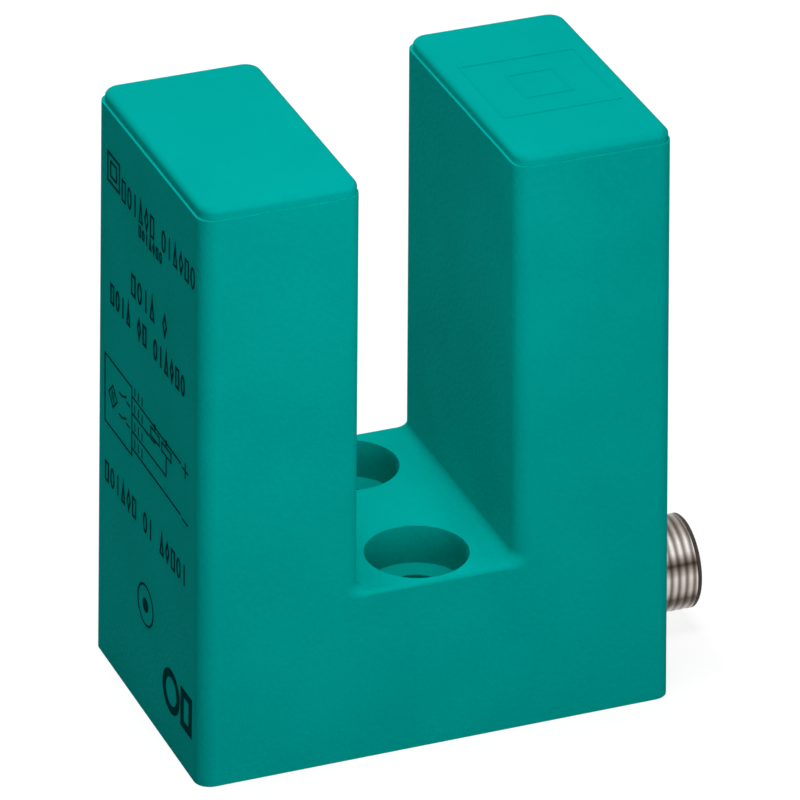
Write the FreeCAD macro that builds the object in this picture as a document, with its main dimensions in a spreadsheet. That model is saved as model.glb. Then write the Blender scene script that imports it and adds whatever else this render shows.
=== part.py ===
import FreeCAD, Part
import math
import os
import re
import Sketcher

from FreeCAD import Placement, Rotation, Vector

# Inductive fork sensor with a plug connector.
# The housing is one moulded fork: two hollow prongs on a common base. Each
# prong holds a coil in a ferrite pot core that looks across the slot, a
# U-shaped circuit board joins them, and cast resin fills the rest.
# Frame: X across the slot, Y through the slot (front is -Y), Z up. The origin
# is the centre of the two mounting holes, on the face that is screwed down.
# All lengths are in millimetres and all angles in degrees.

SIZES = [
    # Housing
    ("body_width", 48.0, "outside width at the base, along X"),
    ("body_depth", 29.7, "outside depth at the base, along Y"),
    ("shell_height", 58.9, "height of the prong rims"),
    ("cap_rise", 1.1, "height of the caps' upper faces above the rims"),
    ("draft_angle", 0.75, "lean of the four outer walls"),
    ("corner_radius", 1.6, "rounding of the upright corners"),
    ("deck_height", 17.65, "height of the slot floor"),
    ("slot_floor_width", 15.65, "slot width at its floor"),
    ("slot_mouth_width", 15.0, "slot width between the caps"),
    ("slot_fillet", 1.0, "hollow rounding between slot floor and walls"),
    ("deck_edge_radius", 0.4, "rounding of the slot floor's front and back edges"),
    ("rim_wall", 1.8, "outer wall at the prong rims"),
    ("slot_wall", 1.8, "wall between slot and prong cavity at the slot floor"),
    ("deck_thickness", 2.2, "plate under the slot floor"),
    # Mounting holes
    ("hole_margin", 5.85, "mounting hole's centre to the nearest end of the housing"),
    ("hole_diameter", 5.3, "clearance hole for an M5 screw"),
    ("counterbore_diameter", 10.0, "seat for the screw head and its washer"),
    ("counterbore_depth", 4.0, "depth of that seat below the slot floor"),
    ("pot_wall", 1.6, "wall round the counterbore"),
    ("pot_floor", 2.5, "material under the screw seat"),
    ("tunnel_wall", 1.0, "wall round the clearance hole"),
    # Base cover
    ("cover_thickness", 1.0, "plate that closes the base"),
    ("cover_ledge", 1.2, "ledge that the cover seats on"),
    ("cover_radius", 1.0, "rounding of its seat's corners"),
    ("cover_clearance", 0.1, "gap round the cover"),
    # Caps
    ("cap_inset", 0.3, "step from the rim's outer edge to the cap"),
    ("cap_edge_chamfer", 0.35, "chamfer of the cap's upper edge"),
    ("plug_depth", 2.5, "depth of the cap's skirt in the prong"),
    ("plug_wall", 1.2, "thickness of that skirt"),
    ("plug_clearance", 0.1, "gap between skirt and prong wall"),
    # Plug connector
    ("connector_height", 5.6, "height of the connector's axis"),
    ("connector_reach", 7.6, "how far it stands out of the side wall"),
    ("thread_diameter", 9.4, "outer diameter of the thread"),
    ("thread_chamfer", 0.2, "chamfer at the end of the thread"),
    ("collar_diameter", 10.2, "collar that holds the seal down"),
    ("collar_thickness", 0.8, "thickness of the collar"),
    ("spot_depth", 0.1, "spot face under the collar"),
    ("spot_clearance", 0.2, "gap round the collar in its spot face"),
    ("neck_diameter", 7.6, "part of the shell inside the housing"),
    ("neck_clearance", 0.05, "gap round the neck"),
    ("seal_section", 0.8, "width and thickness of the seal ring"),
    ("boss_radius", 6.0, "boss inside the side wall"),
    ("boss_length", 3.0, "length of the boss"),
    ("nut_width", 8.4, "width across the lock nut's flats"),
    ("nut_thickness", 2.0, "thickness of the lock nut"),
    ("socket_diameter", 7.0, "inside of the connector's mouth"),
    ("socket_depth", 4.9, "depth of the connector's mouth"),
    ("carrier_diameter", 5.6, "rear part of the contact carrier"),
    ("carrier_rim", 0.6, "disc of the carrier at the mouth's bottom"),
    ("carrier_tail", 0.6, "carrier that shows past the shell"),
    ("key_width", 1.2, "width of the coding key"),
    ("key_depth", 0.6, "radial depth of the coding key"),
    ("key_length", 3.2, "length of the coding key"),
    ("pin_diameter", 1.0, "contact pin in the connector's mouth"),
    ("pin_tail", 0.8, "width and thickness of the pin behind it"),
    ("pin_recess", 1.0, "pin tips behind the connector's end"),
    ("pin_tip_chamfer", 0.3, "chamfer of the pin tips"),
    ("pin_lap", 3.0, "length of pin soldered on the board"),
    # Circuit board
    ("board_thickness", 1.6, "circuit board"),
    ("board_margin", 0.9, "gap between board edge and cavity wall"),
    ("board_foot", 0.6, "gap between board and base cover"),
    ("board_to_core", 2.5, "gap between the board's legs and the pot cores"),
    ("board_headroom", 1.0, "gap between board and deck"),
    ("board_setback", 1.3, "gap between board and contact carrier"),
    ("board_notch", 0.6, "gap between board and connector boss"),
    ("solder_film", 0.05, "solder between the board and a pin or lead"),
    # Coils
    ("coil_drop", 12.9, "coil axis below the prong rims"),
    ("core_diameter", 11.0, "ferrite pot core"),
    ("core_height", 5.0, "height of the pot core"),
    ("core_floor", 1.4, "closed side of the pot core"),
    ("core_wall", 1.2, "outer wall of the pot core"),
    ("post_diameter", 4.4, "centre post of the pot core"),
    ("core_slot", 3.0, "slot for the coil's leads"),
    ("winding_clearance", 0.1, "gap between winding and core"),
    ("winding_margin", 0.4, "gap round the winding"),
    ("lead_width", 0.4, "width and thickness of the wire's two ends"),
    ("lead_lap", 2.0, "length of lead soldered on the board"),
    # Components on the board
    ("chip_length", 8.6, "evaluation circuit, length of its body"),
    ("chip_width", 3.9, "width of its body"),
    ("chip_height", 1.5, "height of its body"),
    ("chip_pitch", 1.27, "pitch of its legs"),
    ("chip_leg_width", 0.42, "width of a leg"),
    ("chip_leg_reach", 1.05, "reach of a leg from the body"),
    ("chip_leg_height", 0.5, "height of a leg"),
    ("transistor_length", 4.5, "output transistor"),
    ("transistor_width", 2.5, "its width"),
    ("transistor_height", 1.5, "its height"),
    ("transistor_offset", 5.0, "its distance from the middle"),
    ("transistor_tab", 1.7, "width of its tab"),
    ("tab_reach", 0.8, "reach of its tab and legs"),
    ("tab_height", 0.4, "height of its tab and legs"),
    ("capacitor_length", 7.3, "supply capacitor"),
    ("capacitor_width", 4.3, "its width"),
    ("capacitor_height", 2.9, "its height"),
    ("diode_length", 4.3, "protection diode"),
    ("diode_width", 2.6, "its width"),
    ("diode_height", 2.2, "its height"),
    ("diode_pitch", 5.0, "distance from diode to diode"),
    ("resistor_length", 2.0, "chip resistor"),
    ("resistor_width", 1.25, "its width"),
    ("resistor_height", 0.5, "its height"),
    ("resistor_pitch", 3.2, "distance from resistor to resistor"),
    ("component_start", 1.8, "lowest component on a leg above the slot floor"),
    # Resin
    ("potting_drop", 3.9, "surface of the cast resin below the prong rims"),
]

DIODES = 3
RESISTORS = 6
CHIP_LEGS_PER_SIDE = 7

# Places that several sub-parts share, as formulas of the sizes above.
RIM_X = "(body_width / 2 - shell_height * tan(draft_angle))"
RIM_Y = "(body_depth / 2 - shell_height * tan(draft_angle))"
OVERALL_HEIGHT = "(shell_height + cap_rise)"
HOLE_Y = "(body_depth / 2 - hole_margin)"
SLOT_LEAN = f"((slot_floor_width - slot_mouth_width) / 2 / ({OVERALL_HEIGHT} - deck_height))"
RIM_SLOT_X = f"(slot_mouth_width / 2 + {SLOT_LEAN} * cap_rise)"
CAVITY_X = f"({RIM_X} - rim_wall)"
CAVITY_Y = f"({RIM_Y} - rim_wall)"
CAVITY_SLOT_X = "(slot_floor_width / 2 + slot_wall)"
DECK_UNDERSIDE = "(deck_height - deck_thickness)"
SEAT_HEIGHT = "(deck_height - counterbore_depth)"
TUNNEL_RADIUS = "(hole_diameter / 2 + tunnel_wall)"
SIDE_X = "(body_width / 2 - connector_height * tan(draft_angle))"
SPOT_X = f"({SIDE_X} - spot_depth)"
END_X = f"({SIDE_X} + connector_reach)"
BOSS_X = f"({CAVITY_X} - boss_length)"
TAIL_X = f"({BOSS_X} - nut_thickness)"
SOCKET_X = f"({END_X} - socket_depth)"
CARRIER_X = f"({TAIL_X} - carrier_tail)"
BOARD_END_X = f"({CARRIER_X} - board_setback)"
PIN_OFFSET = "((board_thickness + pin_tail) / 2 + solder_film)"
BOARD_BOTTOM = "(cover_thickness + board_foot)"
BRIDGE_TOP = f"({DECK_UNDERSIDE} - board_headroom)"
BRIDGE_MIDDLE = f"(({BOARD_BOTTOM} + {BRIDGE_TOP}) / 2)"
LEG_INNER_X = f"({CAVITY_SLOT_X} + board_margin)"
LEG_OUTER_X = f"({CAVITY_X} - board_margin)"
LEG_MIDDLE_X = f"(({LEG_INNER_X} + {LEG_OUTER_X}) / 2)"
NOTCH_TOP = "(connector_height + boss_radius + board_notch)"
COIL_HEIGHT = "(shell_height - coil_drop)"
BOARD_TOP = f"({COIL_HEIGHT} - core_diameter / 2 - board_to_core)"
LOWEST_COMPONENT = "(deck_height + component_start)"
CORE_CHAMBER = "(core_height - core_floor)"
WINDING_EYE = "(post_diameter / 2 + winding_clearance)"
WINDING_RADIUS = "(core_diameter / 2 - core_wall - winding_margin)"
LEAD_X = f"({CAVITY_SLOT_X} + ({CORE_CHAMBER} + winding_clearance) / 2)"
LEAD_INNER_Y = "(board_thickness / 2 + solder_film)"
LEAD_OUTER_Y = f"({LEAD_INNER_Y} + lead_width)"

# Directions in which a part built flat or along Z is laid.
ALONG_X = Rotation(Vector(0, 1, 0), 90)
TO_THE_FRONT = Rotation(Vector(1, 0, 0), 90)
TO_THE_BACK = Rotation(Vector(1, 0, 0), -90)
HALF_TURN = Rotation(Vector(0, 0, 1), 180)

doc = FreeCAD.newDocument("fork_sensor")
sheet = doc.addObject("Spreadsheet::Sheet", "sizes")
for row, (alias, value, meaning) in enumerate(SIZES, start=1):
    sheet.set(f"A{row}", alias)
    sheet.set(f"B{row}", str(value))
    sheet.set(f"C{row}", meaning)
    sheet.setAlias(f"B{row}", alias)
doc.recompute()

nodes = []


def size(alias):
    return float(sheet.get(alias))


def in_sheet(formula):
    """A formula with each size written as a cell of the sheet."""
    return re.sub(r"[a-z]+(?:_[a-z]+)+", lambda word: "sizes." + word.group(0), formula)


def bind(target, name, formula):
    target.setExpression(name, in_sheet(formula))


def place(target, x="0", y="0", z="0", rotation=None):
    if rotation is not None:
        target.Placement = Placement(Vector(0, 0, 0), rotation)
    bind(target, "Placement.Base.x", x)
    bind(target, "Placement.Base.y", y)
    bind(target, "Placement.Base.z", z)


def node(target, label):
    """Name a finished sub-part and list it for export."""
    target.Label = label
    nodes.append(target)
    return target


def box(name, x, y, z):
    """A box between two formulas on each axis."""
    solid = doc.addObject("Part::Box", name)
    bind(solid, "Length", f"({x[1]}) - ({x[0]})")
    bind(solid, "Width", f"({y[1]}) - ({y[0]})")
    bind(solid, "Height", f"({z[1]}) - ({z[0]})")
    place(solid, x[0], y[0], z[0])
    return solid


def cylinder(name, radius, start, length, x="0", y="0", z="0", rotation=None):
    """A cylinder that starts at a distance along its own axis."""
    solid = doc.addObject("Part::Cylinder", name)
    bind(solid, "Radius", radius)
    bind(solid, "Height", length)
    if rotation is None:
        place(solid, x, y, f"({z}) + ({start})")
    else:
        place(solid, f"({x}) + ({start})", y, z, rotation)
    return solid


def fuse(name, parts):
    union = doc.addObject("Part::MultiFuse", name)
    union.Shapes = parts
    return union


def cut(name, base, tool):
    difference = doc.addObject("Part::Cut", name)
    difference.Base = base
    difference.Tool = tool
    return difference


def round_edges(name, base, rounds):
    """Round the listed edges of a solid, each with a start and an end radius."""
    doc.recompute()
    rounded = doc.addObject("Part::Fillet", name)
    rounded.Base = base
    rounded.Edges = rounds
    return rounded


def is_upright(edge):
    span = edge.Vertexes[-1].Point - edge.Vertexes[0].Point
    return math.hypot(span.x, span.y) < 1e-6 and abs(span.z) > 1e-6


def body(name):
    return doc.addObject("PartDesign::Body", name)


def profile(owner, name, plane, points):
    """A closed outline of straight lines through points given as formulas."""
    sketch = owner.newObject("Sketcher::SketchObject", name)
    support = next(item for item in owner.Origin.OriginFeatures if item.Role == plane)
    sketch.AttachmentSupport = [(support, "")]
    sketch.MapMode = "FlatFace"
    corners = [Vector(evaluate(u), evaluate(v), 0) for u, v in points]
    count = len(corners)
    for index, corner in enumerate(corners):
        sketch.addGeometry(Part.LineSegment(corner, corners[(index + 1) % count]), False)
    for index in range(count):
        sketch.addConstraint(Sketcher.Constraint("Coincident", index, 2, (index + 1) % count, 1))
    for index, (u, v) in enumerate(points):
        across = sketch.addConstraint(Sketcher.Constraint("DistanceX", -1, 1, index, 1, corners[index].x))
        bind(sketch, f"Constraints[{across}]", u)
        along = sketch.addConstraint(Sketcher.Constraint("DistanceY", -1, 1, index, 1, corners[index].y))
        bind(sketch, f"Constraints[{along}]", v)
    return sketch


def evaluate(formula):
    """The present value of a formula, to start a sketch near its solution."""
    return float(sheet.evalExpression(in_sheet(formula)))


def rectangle(owner, name, plane, u, v):
    corners = [(u[0], v[0]), (u[1], v[0]), (u[1], v[1]), (u[0], v[1])]
    return profile(owner, name, plane, corners)


def pad(owner, sketch, length, both_ways=False, downwards=False):
    feature = owner.newObject("PartDesign::Pad", sketch.Name + "_pad")
    feature.Profile = sketch
    feature.Midplane = both_ways
    feature.Reversed = downwards
    bind(feature, "Length", length)
    return feature


def revolve(owner, sketch):
    feature = owner.newObject("PartDesign::Revolution", sketch.Name + "_turned")
    feature.Profile = sketch
    feature.ReferenceAxis = (sketch, ["V_Axis"])
    feature.Angle = 360
    return feature


def dress(owner, kind, base, chosen, name, formula):
    """A PartDesign fillet or chamfer on the edges that a test picks."""
    doc.recompute()
    picked = [f"Edge{n}" for n, edge in enumerate(base.Shape.Edges, start=1) if chosen(edge)]
    feature = owner.newObject("PartDesign::" + kind, name)
    feature.Base = (base, picked)
    bind(feature, "Radius" if kind == "Fillet" else "Size", formula)
    return feature


def make_skin():
    """The fork's outside: drafted block, slot, rounded corners."""
    fork = body("fork")
    outline = rectangle(
        fork, "fork_outline", "XY_Plane",
        ("-body_width / 2", "body_width / 2"), ("-body_depth / 2", "body_depth / 2"),
    )
    block = pad(fork, outline, "shell_height")
    doc.recompute()
    sides = [
        f"Face{n}" for n, face in enumerate(block.Shape.Faces, start=1)
        if abs(face.normalAt(0, 0).z) < 0.5
    ]
    draft = fork.newObject("PartDesign::Draft", "fork_draft")
    draft.Base = (block, sides)
    draft.NeutralPlane = (next(f for f in fork.Origin.OriginFeatures if f.Role == "XY_Plane"), [""])
    draft.Reversed = False
    bind(draft, "Angle", "draft_angle")
    doc.recompute()
    if draft.Shape.Volume > block.Shape.Volume:
        draft.Reversed = True
    dress(
        fork, "Fillet", draft,
        lambda edge: edge.BoundBox.ZLength > size("shell_height") / 2,
        "fork_corners", "corner_radius",
    )
    slot = profile(fork, "slot_outline", "XZ_Plane", [
        ("-slot_floor_width / 2", "deck_height"),
        ("slot_floor_width / 2", "deck_height"),
        ("slot_mouth_width / 2", OVERALL_HEIGHT),
        ("-slot_mouth_width / 2", OVERALL_HEIGHT),
    ])
    opening = fork.newObject("PartDesign::Pocket", "slot")
    opening.Profile = slot
    opening.Midplane = True
    bind(opening, "Length", "body_depth * 2")
    deck = size("deck_height")
    dress(
        fork, "Fillet", opening,
        lambda edge: abs(edge.CenterOfMass.z - deck) < 1e-3 and edge.BoundBox.YLength > 1,
        "slot_floor_fillets", "slot_fillet",
    )
    doc.recompute()
    return round_edges("fork_edges", fork, slot_edge_rounds(fork.Shape))


def slot_edge_rounds(shape):
    """Rounds of the slot's front and back edges, each with two end radii.

    The upright edges carry the corner radius and the slot floor's edges a
    small one. The short arc between them runs from the one to the other. Each
    chain is listed from its floor edge, which sets the chain's direction.
    """
    wide = size("corner_radius")
    small = size("deck_edge_radius")
    deck = size("deck_height")
    reach = size("slot_floor_width") / 2 + 1e-3
    depth = size("body_depth") / 2
    at_mouth = [
        (number, edge) for number, edge in enumerate(shape.Edges, start=1)
        if abs(edge.CenterOfMass.x) < reach and abs(edge.CenterOfMass.y) > depth * 0.8
        and edge.BoundBox.ZMin > deck - 1e-3
    ]
    floors = [(number, edge) for number, edge in at_mouth if edge.BoundBox.ZLength < 1e-6]
    rounds = []
    for floor_number, floor in floors:
        rounds.append((floor_number, small, small))
        start = floor.firstVertex().Point
        for number, edge in at_mouth:
            if number == floor_number or edge.CenterOfMass.y * start.y < 0:
                continue
            if edge.BoundBox.XLength < edge.BoundBox.ZLength / 4:
                rounds.append((number, wide, wide))
            elif edge.CenterOfMass.x * start.x > 0:
                rounds.append((number, wide, small))
            else:
                rounds.append((number, small, wide))
    return rounds


def make_hollow():
    """The space inside the housing: base bay and prongs, less pots, tunnels and boss."""
    depth = (f"-{CAVITY_Y}", CAVITY_Y)
    bay = box("bay", (f"-{CAVITY_X}", CAVITY_X), depth, ("cover_thickness", DECK_UNDERSIDE))
    left = box(
        "left_cavity", (f"-{CAVITY_X}", f"-{CAVITY_SLOT_X}"), depth, ("cover_thickness", OVERALL_HEIGHT))
    right = box(
        "right_cavity", (CAVITY_SLOT_X, CAVITY_X), depth, ("cover_thickness", OVERALL_HEIGHT))
    islands = []
    for side, sign in (("front", "-"), ("rear", "")):
        y = f"{sign}{HOLE_Y}"
        islands.append(cylinder(
            side + "_pot", "counterbore_diameter / 2 + pot_wall",
            f"{SEAT_HEIGHT} - pot_floor", "counterbore_depth + pot_floor", y=y))
        islands.append(cylinder(side + "_tunnel", TUNNEL_RADIUS, "0", DECK_UNDERSIDE, y=y))
    arch = cylinder(
        "boss_arch", "boss_radius", BOSS_X, "boss_length * 2", z="connector_height", rotation=ALONG_X)
    foot = box(
        "boss_foot", (BOSS_X, f"{BOSS_X} + boss_length * 2"), ("-boss_radius", "boss_radius"),
        ("0", "connector_height"))
    islands += [arch, foot]
    return cut("hollow", fuse("cavities", [bay, left, right]), fuse("islands", islands))


def cover_outline(name, top, clearance):
    """A plate-shaped space in the housing's base, open round the screw tunnels."""
    reach_x = f"({CAVITY_X} + cover_ledge - {clearance})"
    reach_y = f"({CAVITY_Y} + cover_ledge - {clearance})"
    block = box(name + "_block", (f"-{reach_x}", reach_x), (f"-{reach_y}", reach_y), ("0", top))
    doc.recompute()
    radius = size("cover_radius")
    plate = round_edges(name + "_plate", block, [
        (number, radius, radius) for number, edge in enumerate(block.Shape.Edges, start=1)
        if is_upright(edge)
    ])
    holes = [
        cylinder(f"{name}_{side}_hole", f"{TUNNEL_RADIUS} + {clearance}", "-1", "cover_thickness + 2", y=y)
        for side, y in (("front", f"-{HOLE_Y}"), ("rear", HOLE_Y))
    ]
    return cut(name, plate, fuse(name + "_holes", holes))


def make_housing(hollow):
    removed = [hollow, cover_outline("cover_seat", "cover_thickness", "0")]
    for side, y in (("front", f"-{HOLE_Y}"), ("rear", HOLE_Y)):
        removed.append(cylinder(side + "_screw_hole", "hole_diameter / 2", "-1", "deck_height + 2", y=y))
        removed.append(cylinder(
            side + "_screw_seat", "counterbore_diameter / 2", SEAT_HEIGHT, "counterbore_depth + 1", y=y))
    removed.append(cylinder(
        "neck_hole", "neck_diameter / 2 + neck_clearance", f"{BOSS_X} - 1", "boss_length * 3",
        z="connector_height", rotation=ALONG_X))
    removed.append(cylinder(
        "seal_groove", "neck_diameter / 2 + seal_section", f"{SPOT_X} - seal_section", "seal_section * 2",
        z="connector_height", rotation=ALONG_X))
    removed.append(cylinder(
        "spot_face", "collar_diameter / 2 + spot_clearance", SPOT_X, "1",
        z="connector_height", rotation=ALONG_X))
    return node(cut("housing", make_skin(), fuse("housing_openings", removed)), "housing")


def make_cap(label, sign):
    """Lid of a prong: a plate with a bevelled upper edge, and a skirt below it."""
    inner = f"({RIM_SLOT_X} + cap_inset)"
    outer = f"({RIM_X} - cap_inset)"
    reach = f"({RIM_Y} - cap_inset)"
    middle = f"(({inner} + {outer}) / 2)"
    half = f"(({outer} - {inner}) / 2)"
    cap = body(label + "_body")
    outline = rectangle(cap, label + "_plate", "XY_Plane", (f"-{half}", half), (f"-{reach}", reach))
    plate = pad(cap, outline, "cap_rise")
    plate_corners = dress(
        cap, "Fillet", plate, is_upright, label + "_corners", "corner_radius - cap_inset")
    rise = size("cap_rise")
    dress(
        cap, "Chamfer", plate_corners,
        lambda edge: edge.BoundBox.ZMin > rise - 1e-3,
        label + "_edge", "cap_edge_chamfer")
    cavity_half = f"(({CAVITY_X} - {CAVITY_SLOT_X}) / 2 - plug_clearance)"
    cavity_middle = f"(({CAVITY_X} + {CAVITY_SLOT_X}) / 2)"
    offset = f"{sign}({cavity_middle} - {middle})"
    skirt_x = (f"{offset} - {cavity_half}", f"{offset} + {cavity_half}")
    skirt_y = (f"-({CAVITY_Y} - plug_clearance)", f"{CAVITY_Y} - plug_clearance")
    pad(
        cap, rectangle(cap, label + "_skirt", "XY_Plane", skirt_x, skirt_y), "plug_depth", downwards=True)
    well = cap.newObject("PartDesign::Pocket", label + "_well")
    well.Profile = rectangle(
        cap, label + "_well_outline", "XY_Plane",
        (f"{skirt_x[0]} + plug_wall", f"{skirt_x[1]} - plug_wall"),
        (f"{skirt_y[0]} + plug_wall", f"{skirt_y[1]} - plug_wall"))
    bind(well, "Length", "plug_depth")
    well.Reversed = False
    place(cap, f"{sign}{middle}", "0", "shell_height")
    return node(cap, label)


def make_base_cover():
    return node(cover_outline("base_cover", "cover_thickness", "cover_clearance"), "base_cover")


def turned(label, points):
    """A body of revolution about its own Z, laid along the connector's axis."""
    part = body(label + "_body")
    revolve(part, profile(part, label + "_section", "XZ_Plane", points))
    place(part, "0", "0", "connector_height", ALONG_X)
    return part


def make_connector_shell():
    shell = turned("connector_shell", [
        ("carrier_diameter / 2", TAIL_X),
        ("neck_diameter / 2", TAIL_X),
        ("neck_diameter / 2", SPOT_X),
        ("collar_diameter / 2", SPOT_X),
        ("collar_diameter / 2", f"{SPOT_X} + collar_thickness"),
        ("thread_diameter / 2", f"{SPOT_X} + collar_thickness"),
        ("thread_diameter / 2", f"{END_X} - thread_chamfer"),
        ("thread_diameter / 2 - thread_chamfer", END_X),
        ("socket_diameter / 2", END_X),
        ("socket_diameter / 2", f"{SOCKET_X} - carrier_rim"),
        ("carrier_diameter / 2", f"{SOCKET_X} - carrier_rim"),
    ])
    return node(shell, "connector_shell")


def make_connector_carrier():
    """Insulating carrier: rear plug, disc in the mouth and coding key."""
    carrier = turned("connector_carrier", [
        ("0", CARRIER_X),
        ("carrier_diameter / 2", CARRIER_X),
        ("carrier_diameter / 2", f"{SOCKET_X} - carrier_rim"),
        ("socket_diameter / 2", f"{SOCKET_X} - carrier_rim"),
        ("socket_diameter / 2", SOCKET_X),
        ("0", SOCKET_X),
    ])
    key = box(
        "coding_key_block", (f"{SOCKET_X} - carrier_rim / 2", f"{SOCKET_X} + key_length"),
        ("-key_width / 2", "key_width / 2"),
        ("connector_height + socket_diameter / 2 - key_depth", "connector_height + socket_diameter / 2"))
    mouth = cylinder(
        "coding_key_limit", "socket_diameter / 2", CARRIER_X, f"{END_X} - {CARRIER_X}",
        z="connector_height", rotation=ALONG_X)
    rib = doc.addObject("Part::Common", "coding_key")
    rib.Base = key
    rib.Tool = mouth
    holes = []
    for number, (y, z) in enumerate(pin_places(), start=1):
        holes.append(box(
            f"pin_hole_{number}", (f"{CARRIER_X} - 1", f"{SOCKET_X} + 1"),
            (f"{y} - pin_tail / 2", f"{y} + pin_tail / 2"),
            (f"connector_height + {z} - pin_tail / 2", f"connector_height + {z} + pin_tail / 2")))
    whole = cut("carrier_with_holes", fuse("carrier_with_key", [carrier, rib]), fuse("pin_holes", holes))
    return node(whole, "connector_carrier")


def pin_places():
    """Pins in a square that takes the board's edge between its two rows."""
    return [(f"{a}{PIN_OFFSET}", f"{b}{PIN_OFFSET}") for a in ("-", "") for b in ("-", "")]


def make_contact_pins():
    """Round contacts in the mouth, each with a square tail down to the board."""
    tip = f"({END_X} - pin_recess)"
    for number, (y, z) in enumerate(pin_places(), start=1):
        name = f"contact_pin_{number}"
        pin = body(name + "_body")
        tail = rectangle(
            pin, name + "_tail", "XY_Plane", ("-pin_tail / 2", "pin_tail / 2"), ("-pin_tail / 2", "pin_tail / 2"))
        tail_start = f"({BOARD_END_X} - pin_lap)"
        bind(tail, "AttachmentOffset.Base.z", tail_start)
        pad(pin, tail, f"{SOCKET_X} - {tail_start}")
        contact = profile(pin, name + "_section", "XZ_Plane", [
            ("0", SOCKET_X),
            ("pin_diameter / 2", SOCKET_X),
            ("pin_diameter / 2", f"{tip} - pin_tip_chamfer"),
            ("pin_diameter / 2 - pin_tip_chamfer", tip),
            ("0", tip),
        ])
        revolve(pin, contact)
        place(pin, "0", y, f"connector_height + {z}", ALONG_X)
        node(pin, name)


def make_connector_seal():
    """Ring that the collar presses into its groove."""
    outer = "neck_diameter / 2 + seal_section"
    ring = turned("connector_seal", [
        ("neck_diameter / 2", f"{SPOT_X} - seal_section"),
        (outer, f"{SPOT_X} - seal_section"),
        (outer, SPOT_X),
        ("neck_diameter / 2", SPOT_X),
    ])
    return node(ring, "connector_seal")


def make_connector_nut():
    """Thin lock nut, two of its flats level with the base."""
    nut = body("connector_nut_body")
    apothem = "nut_width / 2"
    corner = "nut_width / 2 / cos(30)"
    hexagon = profile(nut, "connector_nut_outline", "XY_Plane", [
        ("0", corner), (f"-{apothem}", f"{corner} / 2"), (f"-{apothem}", f"-{corner} / 2"),
        ("0", f"-{corner}"), (apothem, f"-{corner} / 2"), (apothem, f"{corner} / 2"),
    ])
    pad(nut, hexagon, "nut_thickness")
    place(nut, f"{BOSS_X} - nut_thickness", "0", "connector_height", ALONG_X)
    thread = cylinder(
        "nut_thread", "neck_diameter / 2", f"{BOSS_X} - nut_thickness - 1", "nut_thickness + 2",
        z="connector_height", rotation=ALONG_X)
    return node(cut("connector_nut_bored", nut, thread), "connector_nut")


def make_circuit_board():
    """U-shaped board between the screw tunnels, its legs in the two prongs."""
    board = body("circuit_board_body")
    outline = profile(board, "circuit_board_outline", "XZ_Plane", [
        (f"-{LEG_OUTER_X}", BOARD_BOTTOM),
        (BOARD_END_X, BOARD_BOTTOM),
        (BOARD_END_X, NOTCH_TOP),
        (LEG_OUTER_X, NOTCH_TOP),
        (LEG_OUTER_X, BOARD_TOP),
        (LEG_INNER_X, BOARD_TOP),
        (LEG_INNER_X, BRIDGE_TOP),
        (f"-{LEG_INNER_X}", BRIDGE_TOP),
        (f"-{LEG_INNER_X}", BOARD_TOP),
        (f"-{LEG_OUTER_X}", BOARD_TOP),
    ])
    pad(board, outline, "board_thickness", both_ways=True)
    return node(board, "circuit_board")


def make_coil(side, sign):
    """Pot core of one prong, open side to the slot, and the coil in it with its leads."""
    laid = ALONG_X if sign == "-" else HALF_TURN.multiply(ALONG_X)
    x = f"{sign}{CAVITY_SLOT_X}"

    core = body(side + "_ferrite_core_body")
    section = profile(core, side + "_core_section", "XZ_Plane", [
        ("0", "-core_height"),
        ("core_diameter / 2", "-core_height"),
        ("core_diameter / 2", "0"),
        ("core_diameter / 2 - core_wall", "0"),
        ("core_diameter / 2 - core_wall", f"-{CORE_CHAMBER}"),
        ("post_diameter / 2", f"-{CORE_CHAMBER}"),
        ("post_diameter / 2", "0"),
        ("0", "0"),
    ])
    revolve(core, section)
    slot = core.newObject("PartDesign::Pocket", side + "_core_slot")
    slot.Profile = rectangle(
        core, side + "_core_slot_outline", "XY_Plane",
        ("core_diameter / 2 - core_wall * 1.5", "core_diameter"), ("-core_slot / 2", "core_slot / 2"))
    bind(slot, "Length", CORE_CHAMBER)
    place(core, x, "0", COIL_HEIGHT, laid)
    node(core, side + "_ferrite_core")

    winding = body(side + "_coil_winding_body")
    coil = rectangle(
        winding, side + "_winding_section", "XZ_Plane", (WINDING_EYE, WINDING_RADIUS),
        (f"-{CORE_CHAMBER}", "-winding_clearance"))
    revolve(winding, coil)
    place(winding, x, "0", COIL_HEIGHT, laid)
    middle = f"{sign}{LEAD_X}"
    across = (f"{middle} - lead_width / 2", f"{middle} + lead_width / 2")
    up = (f"{BOARD_TOP} - lead_lap", COIL_HEIGHT)
    ends = [
        box(side + "_front_lead", across, (f"-{LEAD_OUTER_Y}", f"-{LEAD_INNER_Y}"), up),
        box(side + "_rear_lead", across, (LEAD_INNER_Y, LEAD_OUTER_Y), up),
    ]
    eye = cylinder(
        side + "_winding_eye", WINDING_RADIUS, f"{middle} - core_height / 2", "core_height",
        z=COIL_HEIGHT, rotation=ALONG_X)
    leads = cut(side + "_leads", fuse(side + "_lead_pair", ends), eye)
    node(fuse(side + "_wire", [winding, leads]), side + "_coil_winding")


def on_board(target, x, z, to_the_front):
    """Lay a part that was built on the XY plane flat on one face of the board."""
    half = "board_thickness / 2"
    if to_the_front:
        place(target, x, f"-{half}", z, TO_THE_FRONT)
    else:
        place(target, x, half, z, TO_THE_BACK)


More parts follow.
